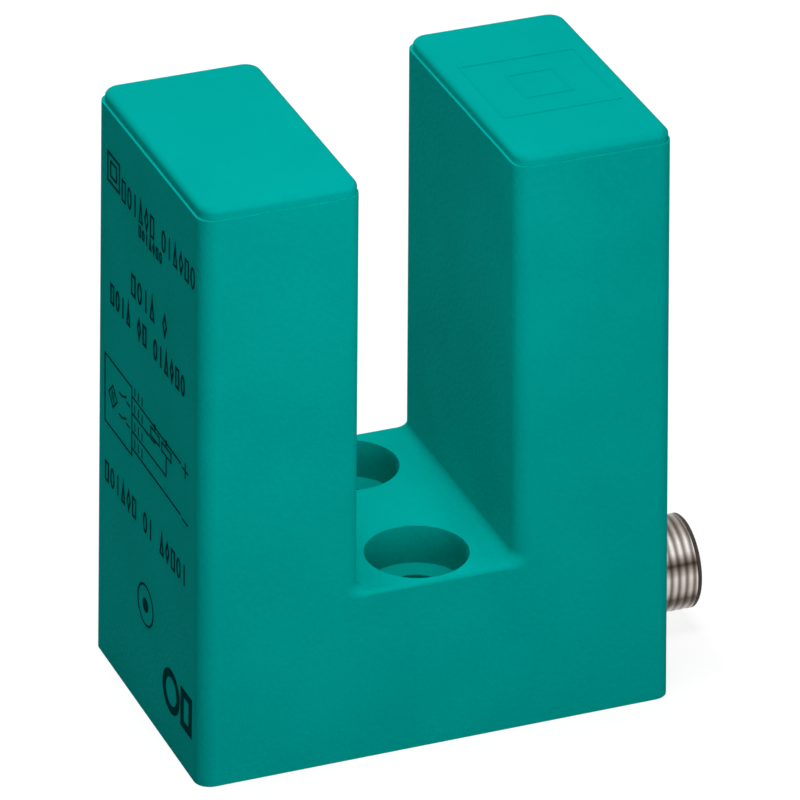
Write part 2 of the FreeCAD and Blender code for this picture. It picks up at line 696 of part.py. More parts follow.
def make_oscillator_chip():
    chip = body("oscillator_chip_body")
    case = rectangle(
        chip, "chip_case", "XY_Plane", ("-chip_length / 2", "chip_length / 2"),
        ("-chip_width / 2", "chip_width / 2"))
    pad(chip, case, "chip_height")
    first = f"(-chip_pitch * {(CHIP_LEGS_PER_SIDE - 1) / 2})"
    legs = rectangle(
        chip, "chip_legs", "XY_Plane",
        (f"{first} - chip_leg_width / 2", f"{first} + chip_leg_width / 2"),
        ("-chip_width / 2 - chip_leg_reach", "chip_width / 2 + chip_leg_reach"))
    first_legs = pad(chip, legs, "chip_leg_height")
    row = chip.newObject("PartDesign::LinearPattern", "chip_leg_row")
    row.Originals = [first_legs]
    row.Direction = (legs, ["H_Axis"])
    row.Occurrences = CHIP_LEGS_PER_SIDE
    bind(row, "Length", f"chip_pitch * {CHIP_LEGS_PER_SIDE - 1}")
    chip.Tip = row
    on_board(chip, "0", BRIDGE_MIDDLE, True)
    node(chip, "oscillator_chip")


def make_output_transistors():
    for number, sign in enumerate(("-", ""), start=1):
        name = f"output_transistor_{number}"
        part = body(name + "_body")
        case = rectangle(
            part, name + "_case", "XY_Plane", ("-transistor_length / 2", "transistor_length / 2"),
            ("-transistor_width / 2", "transistor_width / 2"))
        pad(part, case, "transistor_height")
        tab = rectangle(
            part, name + "_tab", "XY_Plane", ("-transistor_tab / 2", "transistor_tab / 2"),
            ("0", "transistor_width / 2 + tab_reach"))
        pad(part, tab, "tab_height")
        legs = rectangle(
            part, name + "_leg", "XY_Plane",
            ("-transistor_length / 2 + tab_height", "-transistor_length / 2 + tab_height * 2"),
            ("-transistor_width / 2 - tab_reach", "0"))
        leg = pad(part, legs, "tab_height")
        row = part.newObject("PartDesign::LinearPattern", name + "_legs")
        row.Originals = [leg]
        row.Direction = (legs, ["H_Axis"])
        row.Occurrences = 3
        bind(row, "Length", "transistor_length - tab_height * 3")
        part.Tip = row
        on_board(part, f"{sign}transistor_offset", BRIDGE_MIDDLE, False)
        node(part, name)


def make_block_with_feet(name, kind, x, z, to_the_front):
    """A moulded block with a flat foot at each end, laid on the board."""
    part = body(name + "_body")
    case = rectangle(
        part, name + "_case", "XY_Plane", (f"-{kind}_length / 2", f"{kind}_length / 2"),
        (f"-{kind}_width / 2", f"{kind}_width / 2"))
    pad(part, case, f"{kind}_height")
    feet = rectangle(
        part, name + "_feet", "XY_Plane",
        (f"-{kind}_length / 2 - tab_height", f"{kind}_length / 2 + tab_height"),
        (f"-{kind}_width / 4", f"{kind}_width / 4"))
    pad(part, feet, f"{kind}_height / 2")
    on_board(part, x, z, to_the_front)
    node(part, name)


def make_supply_capacitor():
    make_block_with_feet(
        "supply_capacitor", "capacitor", f"-{LEG_MIDDLE_X}", f"{LOWEST_COMPONENT} + diode_pitch", True)


def make_protection_diodes():
    for number in range(1, DIODES + 1):
        make_block_with_feet(
            f"protection_diode_{number}", "diode", f"-{LEG_MIDDLE_X}",
            f"{LOWEST_COMPONENT} + diode_pitch * {number - 1}", False)


def make_chip_resistors():
    for number in range(1, RESISTORS + 1):
        name = f"chip_resistor_{number}"
        part = body(name + "_body")
        case = rectangle(
            part, name + "_case", "XY_Plane", ("-resistor_length / 2", "resistor_length / 2"),
            ("-resistor_width / 2", "resistor_width / 2"))
        pad(part, case, "resistor_height")
        column = "-resistor_length" if number % 2 else "resistor_length"
        step = (number - 1) // 2
        on_board(
            part, f"{LEG_MIDDLE_X} + {column}", f"{LOWEST_COMPONENT} + resistor_pitch * {step}", True)
        node(part, name)


def make_potting_compound(hollow, housing):
    """Cast resin: the hollow up to its level, less every piece that lies in it.

    The pot cores keep it out of their chambers, so each core is taken away
    as one full cylinder.
    """
    embedded = [
        part for part in nodes
        if part is not housing and not part.Label.endswith("_core")
    ]
    embedded.append(box(
        "air_space", ("-body_width", "body_width"), ("-body_depth", "body_depth"),
        ("shell_height - potting_drop", f"{OVERALL_HEIGHT} + cap_rise")))
    embedded.append(cylinder(
        "neck_space", "neck_diameter / 2", TAIL_X, f"{CAVITY_X} - {TAIL_X}",
        z="connector_height", rotation=ALONG_X))
    for side, start in (("left", f"-{CAVITY_SLOT_X} - core_height"), ("right", CAVITY_SLOT_X)):
        embedded.append(cylinder(
            side + "_core_space", "core_diameter / 2", start, "core_height",
            z=COIL_HEIGHT, rotation=ALONG_X))
    return node(cut("resin", hollow, fuse("embedded", embedded)), "potting_compound")


def check_document():
    """Stop if any object failed or any sub-part has no sound shape."""
    doc.recompute()
    failed = [item.Name for item in doc.Objects if "Invalid" in item.State or "Error" in item.State]
    if failed:
        raise RuntimeError("failed objects: " + ", ".join(failed))
    for part in nodes:
        shape = part.Shape
        if shape.isNull() or not shape.isValid() or not shape.Solids:
            raise RuntimeError("unsound sub-part: " + part.Label)


def export_nodes():
    os.makedirs("parts", exist_ok=True)
    for part in nodes:
        part.Shape.exportStep(f"parts/{part.Label}.step")
        print(f"{part.Label}: {len(part.Shape.Solids)} solid, {part.Shape.Volume:.1f} mm3")


hollow = make_hollow()
housing = make_housing(hollow)
make_cap("left_cap", "-")
make_cap("right_cap", "")
make_base_cover()
make_connector_shell()
make_connector_carrier()
make_contact_pins()
make_connector_seal()
make_connector_nut()
make_circuit_board()
make_coil("left", "-")
make_coil("right", "")
make_oscillator_chip()
make_output_transistors()
make_supply_capacitor()
make_protection_diodes()
make_chip_resistors()
make_potting_compound(hollow, housing)
check_document()
export_nodes()
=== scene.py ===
import math

import bpy
from mathutils import Matrix, Vector


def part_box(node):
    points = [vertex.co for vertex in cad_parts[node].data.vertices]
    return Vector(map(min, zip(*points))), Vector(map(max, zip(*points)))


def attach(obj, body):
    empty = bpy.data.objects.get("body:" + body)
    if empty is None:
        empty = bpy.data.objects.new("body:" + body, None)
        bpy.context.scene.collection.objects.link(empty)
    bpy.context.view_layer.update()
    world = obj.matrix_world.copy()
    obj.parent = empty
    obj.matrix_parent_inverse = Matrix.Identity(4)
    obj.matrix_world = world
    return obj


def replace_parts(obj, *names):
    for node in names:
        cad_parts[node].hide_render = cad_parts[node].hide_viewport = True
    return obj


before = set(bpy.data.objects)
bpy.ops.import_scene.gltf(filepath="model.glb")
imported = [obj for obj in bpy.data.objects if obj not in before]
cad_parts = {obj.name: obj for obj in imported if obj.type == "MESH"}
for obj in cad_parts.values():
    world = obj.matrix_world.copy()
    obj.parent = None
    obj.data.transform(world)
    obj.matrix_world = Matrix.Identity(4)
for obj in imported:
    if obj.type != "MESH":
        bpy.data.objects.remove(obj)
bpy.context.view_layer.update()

# Fork sensor: the finish of every surface, the lids, the plug's thread and the print,
# with studio light and camera. Lengths are in millimetres in this script, and in metres
# (the row frame) in the scene: MM turns the one into the other.

MM = 0.001


def box_of(node):
    """Lowest and highest corner of a CAD node in millimetres."""
    return [[c / MM for c in corner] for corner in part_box(node)]


# Outside walls: the left one carries the print.
BASE_HALF_WIDTH, _, RIM_HEIGHT = box_of("housing")[1]
DRAFT = math.radians(0.75)
PRINT_THICKNESS = 0.03

# Lids. Their X is the distance from the slot's middle to the near and the far side.
# Each stands out a little past its CAD lid all round, and reaches further to the right.
(CAD_NEAR, _, SKIRT_BOTTOM), (CAD_FAR, CAD_HALF_DEPTH, TOP_HEIGHT) = box_of("right_cap")
LID_GROWTH = 0.04
LID_REACH = 0.2
LEFT_LID_X = (CAD_NEAR - LID_GROWTH - LID_REACH, CAD_FAR + LID_GROWTH)
RIGHT_LID_X = (CAD_NEAR - LID_GROWTH, CAD_FAR + LID_GROWTH + LID_REACH)
LID_HALF_DEPTH = CAD_HALF_DEPTH + LID_GROWTH
LID_CORNER = 1.6
LID_DRAFT = 0.01
LID_EDGE_WIDTH = 0.68
LID_EDGE_HEIGHT = 0.6

# Skirts of the lids, set in from the CAD lids' sides, and a little more beside the slot.
SKIRT_INSET = 1.6
SKIRT_SLOT_INSET = 1.917
SKIRT_X = (CAD_NEAR + SKIRT_SLOT_INSET, CAD_FAR - SKIRT_INSET)
SKIRT_HALF_DEPTH = CAD_HALF_DEPTH - SKIRT_INSET
SKIRT_WALL = 1.2
SKIRT_CORNER = 0.2

# Raised mark on the right lid: outlines round one middle, as half width, half depth and line.
EMBOSS_MIDDLE = 15.5
EMBOSS_HEIGHT = 0.07
EMBOSS_SLOPE = 0.06
EMBOSS_OUTLINES = ((5.8, 5.6, 0.25), (2.3, 2.4, 0.3))

# Plug shell, along +X: places are x, from its tail in the housing to its mouth.
(TAIL, _, COLLAR_BOTTOM), (PLUG_END, _, _) = box_of("connector_shell")
PLUG_BEVEL = 0.1
TAIL_BORE_RADIUS = 2.8
NECK_RADIUS = 3.8
COLLAR_RADIUS = 5.1
COLLAR_TO_MOUTH = 7.7
COLLAR_START = PLUG_END - COLLAR_TO_MOUTH
COLLAR_THICKNESS = 0.8
PLUG_HEIGHT = COLLAR_BOTTOM + COLLAR_RADIUS
MOUTH_RADIUS = 3.5
MOUTH_DEPTH = 5.5
MOUTH_BOTTOM = PLUG_END - MOUTH_DEPTH

# The plug's lip ring, set off from the thread by a narrow gap.
LIP_RADIUS = 4.68
LIP_LENGTH = 0.447
LIP_START = PLUG_END - LIP_LENGTH
LIP_GAP = 0.02
LIP_STEP = (0.04, 0.06)
LIP_BEVEL = 0.13

# The plug's thread: shallow waves that fade at both ends.
THREAD_START = COLLAR_START + COLLAR_THICKNESS
THREAD_END = LIP_START - LIP_GAP
THREAD_RADIUS = 4.7
THREAD_PITCH = 0.8
THREAD_PHASE = 0.1
THREAD_DEPTH = 0.07
THREAD_RUN_IN = 0.5
THREAD_RUN_OUT = 0.2

# Height of the axis that both coils share.
COIL_HEIGHT = 46.0

# Fineness of round stretches.
CORNER_STEPS = 10
EDGE_STEPS = 8
PLUG_SIDES = 144
STEPS_PER_TURN = 14


# Materials

def new_material(name, colour, roughness, metallic=0.0, specular=0.5):
    """A material with one Principled shader; returns its node tree and that shader."""
    material = bpy.data.materials.new(name)
    material.use_nodes = True
    tree = material.node_tree
    shader = tree.nodes["Principled BSDF"]
    shader.inputs["Base Color"].default_value = (*colour, 1.0)
    shader.inputs["Roughness"].default_value = roughness
    shader.inputs["Metallic"].default_value = metallic
    shader.inputs["Specular IOR Level"].default_value = specular
    return material, tree, shader


def texture(tree, kind, scale, stretch=(1.0, 1.0, 1.0), **settings):
    """A texture node in the row frame; scale counts its features per millimetre."""
    place = tree.nodes.new("ShaderNodeTexCoord")
    mapping = tree.nodes.new("ShaderNodeMapping")
    mapping.inputs["Scale"].default_value = [scale * s / MM for s in stretch]
    tree.links.new(place.outputs["Object"], mapping.inputs["Vector"])
    node = tree.nodes.new(kind)
    node.inputs["Scale"].default_value = 1.0
    tree.links.new(mapping.outputs["Vector"], node.inputs["Vector"])
    for key, value in settings.items():
        if key in node.inputs:
            node.inputs[key].default_value = value
        else:
            setattr(node, key, value)
    return node


def ramp(tree, factor, *stops):
    """A colour ramp; each stop is a place and a colour or grey."""
    node = tree.nodes.new("ShaderNodeValToRGB")
    elements = node.color_ramp.elements
    while len(elements) < len(stops):
        elements.new(0.5)
    for element, (place, colour) in zip(elements, stops):
        element.position = place
        element.color = (*colour, 1.0) if isinstance(colour, tuple) else (colour, colour, colour, 1.0)
    tree.links.new(factor, node.inputs["Fac"])
    return node.outputs["Color"]


def bump(tree, shader, height, depth):
    """Relief of that depth in millimetres on the shader's normal."""
    node = tree.nodes.new("ShaderNodeBump")
    node.inputs["Strength"].default_value = 1.0
    node.inputs["Distance"].default_value = depth * MM
    tree.links.new(height, node.inputs["Height"])
    tree.links.new(node.outputs["Normal"], shader.inputs["Normal"])


def maths(tree, operation, *values):
    """A maths node; each value is a number or another node's output."""
    node = tree.nodes.new("ShaderNodeMath")
    node.operation = operation
    for socket, value in zip(node.inputs, values):
        if isinstance(value, float):
            socket.default_value = value
        else:
            tree.links.new(value, socket)
    return node.outputs["Value"]


def uneven(tree, shader, factor, colour, spread):
    """The shader's colour, that share darker to lighter as the factor goes from 0.3 to 0.7."""
    dark, light = (tuple(channel * (1.0 + share) for channel in colour) for share in (-spread, spread))
    tree.links.new(ramp(tree, factor, (0.3, dark), (0.7, light)), shader.inputs["Base Color"])


def tool_marks(tree, shader, per_mm, roughness, depth):
    """Fine marks round the plug's axis, in gloss and relief."""
    marks = texture(tree, "ShaderNodeTexNoise", per_mm, stretch=(1.0, 0.04, 0.04), Detail=2.0)
    gloss = ramp(tree, marks.outputs["Fac"], (0.3, roughness - 0.05), (0.7, roughness + 0.07))
    tree.links.new(gloss, shader.inputs["Roughness"])
    bump(tree, shader, marks.outputs["Fac"], depth)


def moulded(name, colour, grain, grain_depth, roughness, mottling=0.04, specular=0.002):
    """Moulded plastic: uneven colour, spark-eroded grain and patches of gloss."""
    material, tree, shader = new_material(name, colour, roughness, specular=specular)
    clouds = texture(tree, "ShaderNodeTexNoise", 0.12, Detail=3.0)
    pits = texture(tree, "ShaderNodeTexNoise", grain, Detail=4.0, Roughness=0.6)
    # The grain, centred on zero, adds to the clouds in the colour.
    fine = maths(tree, "MULTIPLY_ADD", pits.outputs["Fac"], 0.8, -0.4)
    uneven(tree, shader, maths(tree, "ADD", clouds.outputs["Fac"], fine), colour, mottling)
    gloss = ramp(tree, pits.outputs["Fac"], (0.25, roughness - 0.08), (0.75, roughness + 0.08))
    tree.links.new(gloss, shader.inputs["Roughness"])
    bump(tree, shader, pits.outputs["Fac"], grain_depth)
    return material


def turned_metal(name, colour, roughness, grooves, groove_depth, dullness=0.08):
    """Turned and plated metal: fine tool marks round the plug's axis and patches of tarnish."""
    material, tree, shader = new_material(name, colour, roughness, metallic=1.0)
    stains = texture(tree, "ShaderNodeTexNoise", 0.9, Detail=4.0)
    uneven(tree, shader, stains.outputs["Fac"], colour, dullness)
    tool_marks(tree, shader, grooves, roughness, groove_depth)
    return material


def plating(tone):
    """Nickel of that tone: neutral where light, browner where dark."""
    return (tone, 0.97 * tone ** 1.12, 0.95 * tone ** 1.2)


def plated_thread(name, roughness):
    """Plated thread: painted reflections as light and dark streaks along the plug, and painted shade in the
    valleys between its turns.
    """
    material, tree, shader = new_material(name, plating(0.5), roughness, metallic=1.0)
    place = tree.nodes.new("ShaderNodeTexCoord")
    parts = tree.nodes.new("ShaderNodeSeparateXYZ")
    tree.links.new(place.outputs["Object"], parts.inputs[0])
    up = maths(tree, "SUBTRACT", parts.outputs["Z"], PLUG_HEIGHT * MM)
    toward = maths(tree, "MULTIPLY", parts.outputs["Y"], -1.0)
    turn = maths(tree, "MULTIPLY_ADD", maths(tree, "ARCTAN2", up, toward), 0.5 / math.pi, 0.5)
    # Painted reflections: highlights and dark bands set into the colour by the angle round the plug's axis.
    painted_reflections = ramp(tree, turn, *[((angle + 180.0) / 360.0, plating(tone)) for angle, tone in PAINTED_REFLECTIONS])
    squares = [maths(tree, "POWER", side, 2.0) for side in (up, toward)]
    reach = maths(tree, "SQRT", maths(tree, "ADD", *squares))
    crest = maths(
        tree, "MULTIPLY_ADD", reach, 1.0 / (THREAD_DEPTH * MM), 1.0 - THREAD_RADIUS / THREAD_DEPTH)
    stains = texture(tree, "ShaderNodeTexNoise", 0.9, Detail=4.0)
    # Painted shade: the thread's valleys darker than its crests.
    valley_shade = ramp(tree, crest, (0.0, plating(VALLEY_SHADE_TONE)), (0.95, 1.0))
    patches = ramp(tree, stains.outputs["Fac"], (0.3, 0.9), (0.7, 1.0))
    tone = painted_reflections
    for factor in (valley_shade, patches):
        mix = tree.nodes.new("ShaderNodeMix")
        mix.data_type = "RGBA"
        mix.blend_type = "MULTIPLY"
        mix.inputs[0].default_value = 1.0
        tree.links.new(tone, mix.inputs[6])
        tree.links.new(factor, mix.inputs[7])
        tone = mix.outputs[2]
    tree.links.new(tone, shader.inputs["Base Color"])
    tool_marks(tree, shader, 6.0, roughness, 0.002)
    return material


def speckled(name, dark, light, scale, depth, roughness, specular=0.5, metallic=0.0):
    """A grainy, sintered or filled surface: two tones in small grains."""
    material, tree, shader = new_material(name, dark, roughness, metallic, specular)
    grains = texture(tree, "ShaderNodeTexVoronoi", scale)
    clouds = texture(tree, "ShaderNodeTexNoise", scale / 4, Detail=3.0)
    tone = maths(tree, "MULTIPLY", grains.outputs["Distance"], clouds.outputs["Fac"])
    tree.links.new(ramp(tree, tone, (0.1, dark), (0.6, light)), shader.inputs["Base Color"])
    bump(tree, shader, tone, depth)
    return material


def laminate(name):
    """Circuit board: green mask over a glass weave."""
    material, tree, shader = new_material(name, (0.01, 0.09, 0.035), 0.35)
    warp = texture(tree, "ShaderNodeTexWave", 0.5, bands_direction="X", Distortion=0.6)
    weft = texture(tree, "ShaderNodeTexWave", 0.5, bands_direction="Z", Distortion=0.6)
    weave = maths(tree, "MULTIPLY", warp.outputs["Fac"], weft.outputs["Fac"])
    mask = ramp(tree, weave, (0.0, (0.008, 0.075, 0.03)), (1.0, (0.02, 0.13, 0.05)))
    tree.links.new(mask, shader.inputs["Base Color"])
    bump(tree, shader, weave, 0.01)
    return material


def wound_wire(name):
    """Enamelled copper wire, its turns as rings round the coil's axis."""
    material, tree, shader = new_material(name, (0.62, 0.24, 0.09), 0.3, metallic=0.9)
    place = tree.nodes.new("ShaderNodeTexCoord")
    mapping = tree.nodes.new("ShaderNodeMapping")
    mapping.inputs["Location"].default_value = (0.0, 0.0, -COIL_HEIGHT * MM)
    tree.links.new(place.outputs["Object"], mapping.inputs["Vector"])
    turns = tree.nodes.new("ShaderNodeTexWave")
    turns.wave_type = "RINGS"
    turns.rings_direction = "X"
    turns.inputs["Scale"].default_value = 1.6 / MM
    tree.links.new(mapping.outputs["Vector"], turns.inputs["Vector"])
    tree.links.new(
        ramp(tree, turns.outputs["Fac"], (0.0, (0.30, 0.10, 0.035)), (0.6, (0.66, 0.27, 0.11))),
        shader.inputs["Base Color"])
    bump(tree, shader, turns.outputs["Fac"], 0.05)
    return material


TEAL = (0.0, 0.41, 0.368)
LID_TEAL = (0.0, 0.405, 0.366)
NICKEL = (0.60, 0.56, 0.53)

# Painted reflections on the plug's plating, as light and dark streaks in its colour: the angle
# round its axis in degrees, from -Y upwards, and the tone.
PAINTED_REFLECTIONS = (
    (-180.0, 0.45), (-150.0, 0.60), (-130.0, 0.18), (-105.0, 0.50), (-60.0, 0.50), (-40.0, 0.44),
    (-28.0, 0.15), (-20.0, 0.13), (-8.0, 0.55), (10.0, 0.70), (19.0, 0.38), (26.0, 0.08),
    (33.0, 0.40), (41.0, 0.92), (54.0, 0.95), (66.0, 0.55), (78.0, 0.38), (105.0, 0.30),
    (122.0, 0.55), (138.0, 0.80), (152.0, 0.12), (166.0, 0.60), (180.0, 0.45))
# Tone of the painted shade in the thread's valleys.
VALLEY_SHADE_TONE = 0.31

MATERIALS = {
    "teal_plastic": moulded("moulded_teal", TEAL, grain=2.3, grain_depth=0.06, roughness=0.62),
    "cap_plastic": moulded("cap_teal", LID_TEAL, grain=2.2, grain_depth=0.005, roughness=0.5, mottling=0.02),
    "cover_plastic": moulded("cover_teal", TEAL, grain=2.6, grain_depth=0.02, roughness=0.6),
    "nickel_plate": turned_metal("nickel", NICKEL, 0.28, grooves=6.0, groove_depth=0.006),
    "seal_rubber": speckled("seal_black", (0.012, 0.012, 0.013), (0.035, 0.035, 0.036), 4.0, 0.01, 0.7),
    "black_plastic": moulded(
        "carrier_black", (0.02, 0.02, 0.022), grain=3.0, grain_depth=0.01, roughness=0.5, specular=0.4),
    "board_laminate": laminate("board_green"),
    "chip_case": moulded(
        "chip_black", (0.022, 0.022, 0.024), grain=6.0, grain_depth=0.01, roughness=0.55, specular=0.4),
    "capacitor_case": moulded(
        "capacitor_ochre", (0.55, 0.30, 0.06), grain=3.0, grain_depth=0.008, roughness=0.4, specular=0.4),
    "resistor_case": speckled("resistor_ceramic", (0.05, 0.05, 0.055), (0.14, 0.14, 0.15), 5.0, 0.005, 0.4),
    "gold_plate": turned_metal("gold", (0.95, 0.66, 0.27), 0.22, grooves=8.0, groove_depth=0.003),
    "ferrite": speckled("ferrite_grey", (0.035, 0.034, 0.036), (0.10, 0.10, 0.105), 6.0, 0.012, 0.6),
    "copper_wire": wound_wire("enamelled_copper"),
    "cast_resin": speckled("resin_black", (0.015, 0.014, 0.013), (0.04, 0.036, 0.03), 1.2, 0.02, 0.4),
}
PLUG_PLATING = plated_thread("plug_nickel", 0.25)
PLUG_LIP = speckled("plug_lip", (0.052, 0.040, 0.035), (0.105, 0.084, 0.074), 3.0, 0.004, 0.5, specular=0.15)
INK = speckled("ink", (0.0, 0.046, 0.049), (0.0, 0.075, 0.08), 3.0, 0.004, 0.6, specular=0.0)

for slot_name, material in MATERIALS.items():
    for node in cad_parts.values():
        for index, packed in enumerate(node.data.materials):
            if packed.name.split(".")[0] == slot_name:
                node.data.materials[index] = material


# Meshes

def add_piece(name, vertices, faces, materials, smooth_angle=30.0):
    """A piece of the object from vertices in millimetres, riding on the one body."""
    mesh = bpy.data.meshes.new(name)
    mesh.from_pydata([[c * MM for c in v] for v in vertices], [], faces)
    for material in materials:
        mesh.materials.append(material)
    mesh.validate()
    piece = bpy.data.objects.new(name, mesh)
    bpy.context.scene.collection.objects.link(piece)
    mesh.shade_smooth()
    mesh.set_sharp_from_angle(angle=math.radians(smooth_angle))
    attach(piece, "root")
    return piece


def bridge(first, second, count):
    """Quads between two closed rings of vertices."""
    return [
        (first + i, first + (i + 1) % count, second + (i + 1) % count, second + i)
        for i in range(count)]


def rounded_ring(low, high, radius, z):
    """Corner by corner, a rectangle with rounded corners at height z."""
    points = []
    corners = (
        (high[0] - radius, high[1] - radius, 0.0),
        (low[0] + radius, high[1] - radius, 90.0),
        (low[0] + radius, low[1] + radius, 180.0),
        (high[0] - radius, low[1] + radius, 270.0))
    for x, y, start in corners:
        for i in range(CORNER_STEPS + 1):
            angle = math.radians(start + 90.0 * i / CORNER_STEPS)
            points.append((x + radius * math.cos(angle), y + radius * math.sin(angle), z))
    return points


def make_lid(name, node, side, lid_x, top):
    """Lid of a prong, as rings from the well's ceiling round the skirt to the upper face."""
    def ring(x, half_depth, inset, radius, z):
        low, high = (x[0] + inset, -half_depth + inset), (x[1] - inset, half_depth - inset)
        return rounded_ring(low, high, radius, z)

    def skirt_ring(inset, z):
        return ring(SKIRT_X, SKIRT_HALF_DEPTH, inset, SKIRT_CORNER, z)

    rings = [
        skirt_ring(SKIRT_WALL, RIM_HEIGHT),
        skirt_ring(SKIRT_WALL, SKIRT_BOTTOM),
        skirt_ring(0.0, SKIRT_BOTTOM),
        skirt_ring(0.0, RIM_HEIGHT),
        ring(lid_x, LID_HALF_DEPTH, -LID_DRAFT, LID_CORNER + LID_DRAFT, RIM_HEIGHT),
    ]
    for i in range(EDGE_STEPS + 1):
        angle = math.radians(90.0 * i / EDGE_STEPS)
        inset = LID_EDGE_WIDTH * (1.0 - math.cos(angle))
        z = top - LID_EDGE_HEIGHT * (1.0 - math.sin(angle))
        rings.append(ring(lid_x, LID_HALF_DEPTH, inset, LID_CORNER - inset, z))
    count = len(rings[0])
    vertices = [(side * x, y, z) for one in rings for x, y, z in one]
    faces = []
    for i in range(len(rings) - 1):
        faces += bridge(i * count, (i + 1) * count, count)
    last = (len(rings) - 1) * count
    faces.append(tuple(range(count - 1, -1, -1)))
    faces.append(tuple(range(last, last + count)))
    if side < 0:
        faces = [tuple(reversed(face)) for face in faces]
    piece = add_piece(name, vertices, faces, [MATERIALS["cap_plastic"]])
    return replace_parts(piece, node)


def make_emboss():
    """A low outlined square with a smaller one in it, moulded on the right lid."""
    vertices, faces = [], []
    for half_width, half_depth, line in EMBOSS_OUTLINES:
        base = len(vertices)
        x0, x1 = EMBOSS_MIDDLE - half_width, EMBOSS_MIDDLE + half_width
        y0, y1 = -half_depth, half_depth
        half = line / 2
        rings = (
            (half + EMBOSS_SLOPE, 0.0), (half, EMBOSS_HEIGHT),
            (-half, EMBOSS_HEIGHT), (-half - EMBOSS_SLOPE, 0.0))
        for grow, rise in rings:
            z = TOP_HEIGHT - EMBOSS_HEIGHT + rise
            vertices += [
                (x1 + grow, y1 + grow, z), (x0 - grow, y1 + grow, z),
                (x0 - grow, y0 - grow, z), (x1 + grow, y0 - grow, z)]
        for i in range(4):
            faces += bridge(base + i * 4, base + (i + 1) % 4 * 4, 4)
    return add_piece("cap_emboss", vertices, faces, [MATERIALS["cap_plastic"]], 20.0)


def thread_radius(x, turn):
    """Radius of the threaded plug at x and at that share of a turn."""
    wave = math.cos(2.0 * math.pi * (x / THREAD_PITCH - turn + THREAD_PHASE))
    fade_in = min(1.0, max(0.0, (x - THREAD_START) / THREAD_RUN_IN))
    fade_out = min(1.0, max(0.0, (THREAD_END - x) / THREAD_RUN_OUT))
    return THREAD_RADIUS - THREAD_DEPTH * (0.5 - 0.5 * wave) * fade_in * fade_out


def make_plug():
    """Plug shell: neck and collar, helical thread, dark lip, mouth."""
    bevel = PLUG_BEVEL
    tail = [
        (TAIL, TAIL_BORE_RADIUS), (TAIL, NECK_RADIUS - bevel),
        (TAIL + bevel, NECK_RADIUS), (COLLAR_START, NECK_RADIUS),
        (COLLAR_START, COLLAR_RADIUS - bevel), (COLLAR_START + bevel, COLLAR_RADIUS),
        (THREAD_START - bevel, COLLAR_RADIUS), (THREAD_START, COLLAR_RADIUS - bevel)]
    run, rise = LIP_STEP
    lip = [
        (LIP_START, LIP_RADIUS - rise), (LIP_START + run, LIP_RADIUS),
        (PLUG_END - LIP_BEVEL, LIP_RADIUS)]
    mouth = [
        (PLUG_END, LIP_RADIUS - LIP_BEVEL), (PLUG_END, MOUTH_RADIUS + bevel),
        (PLUG_END - bevel, MOUTH_RADIUS), (MOUTH_BOTTOM, MOUTH_RADIUS),
        (MOUTH_BOTTOM, TAIL_BORE_RADIUS)]
    length = THREAD_END - THREAD_START
    steps = round(length / THREAD_PITCH * STEPS_PER_TURN)
    thread = [THREAD_START + length * i / steps for i in range(steps + 1)]
    rings = [[point] * PLUG_SIDES for point in tail]
    rings += [[(x, thread_radius(x, i / PLUG_SIDES)) for i in range(PLUG_SIDES)] for x in thread]
    lip_start = len(rings)
    rings += [[point] * PLUG_SIDES for point in lip + mouth]
    vertices = []
    for one in rings:
        for i, (x, radius) in enumerate(one):
            angle = 2.0 * math.pi * i / PLUG_SIDES
            vertices.append((x, -radius * math.cos(angle), PLUG_HEIGHT + radius * math.sin(angle)))
    faces = []
    for i in range(len(rings)):
        faces += bridge(i * PLUG_SIDES, (i + 1) % len(rings) * PLUG_SIDES, PLUG_SIDES)
    piece = add_piece(
        "plug_shell", vertices, faces, [PLUG_PLATING, PLUG_LIP], 40.0)
    for face in piece.data.polygons[lip_start * PLUG_SIDES:(lip_start + len(lip)) * PLUG_SIDES]:
        face.material_index = 1
    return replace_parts(piece, "connector_shell")


# Print on the left wall

SIGNS = ("square", "oval", "tick", "triangle", "diamond")
TICKS = ("tick",)
SIGN_WIDTH = 0.72  # of the pitch between two signs


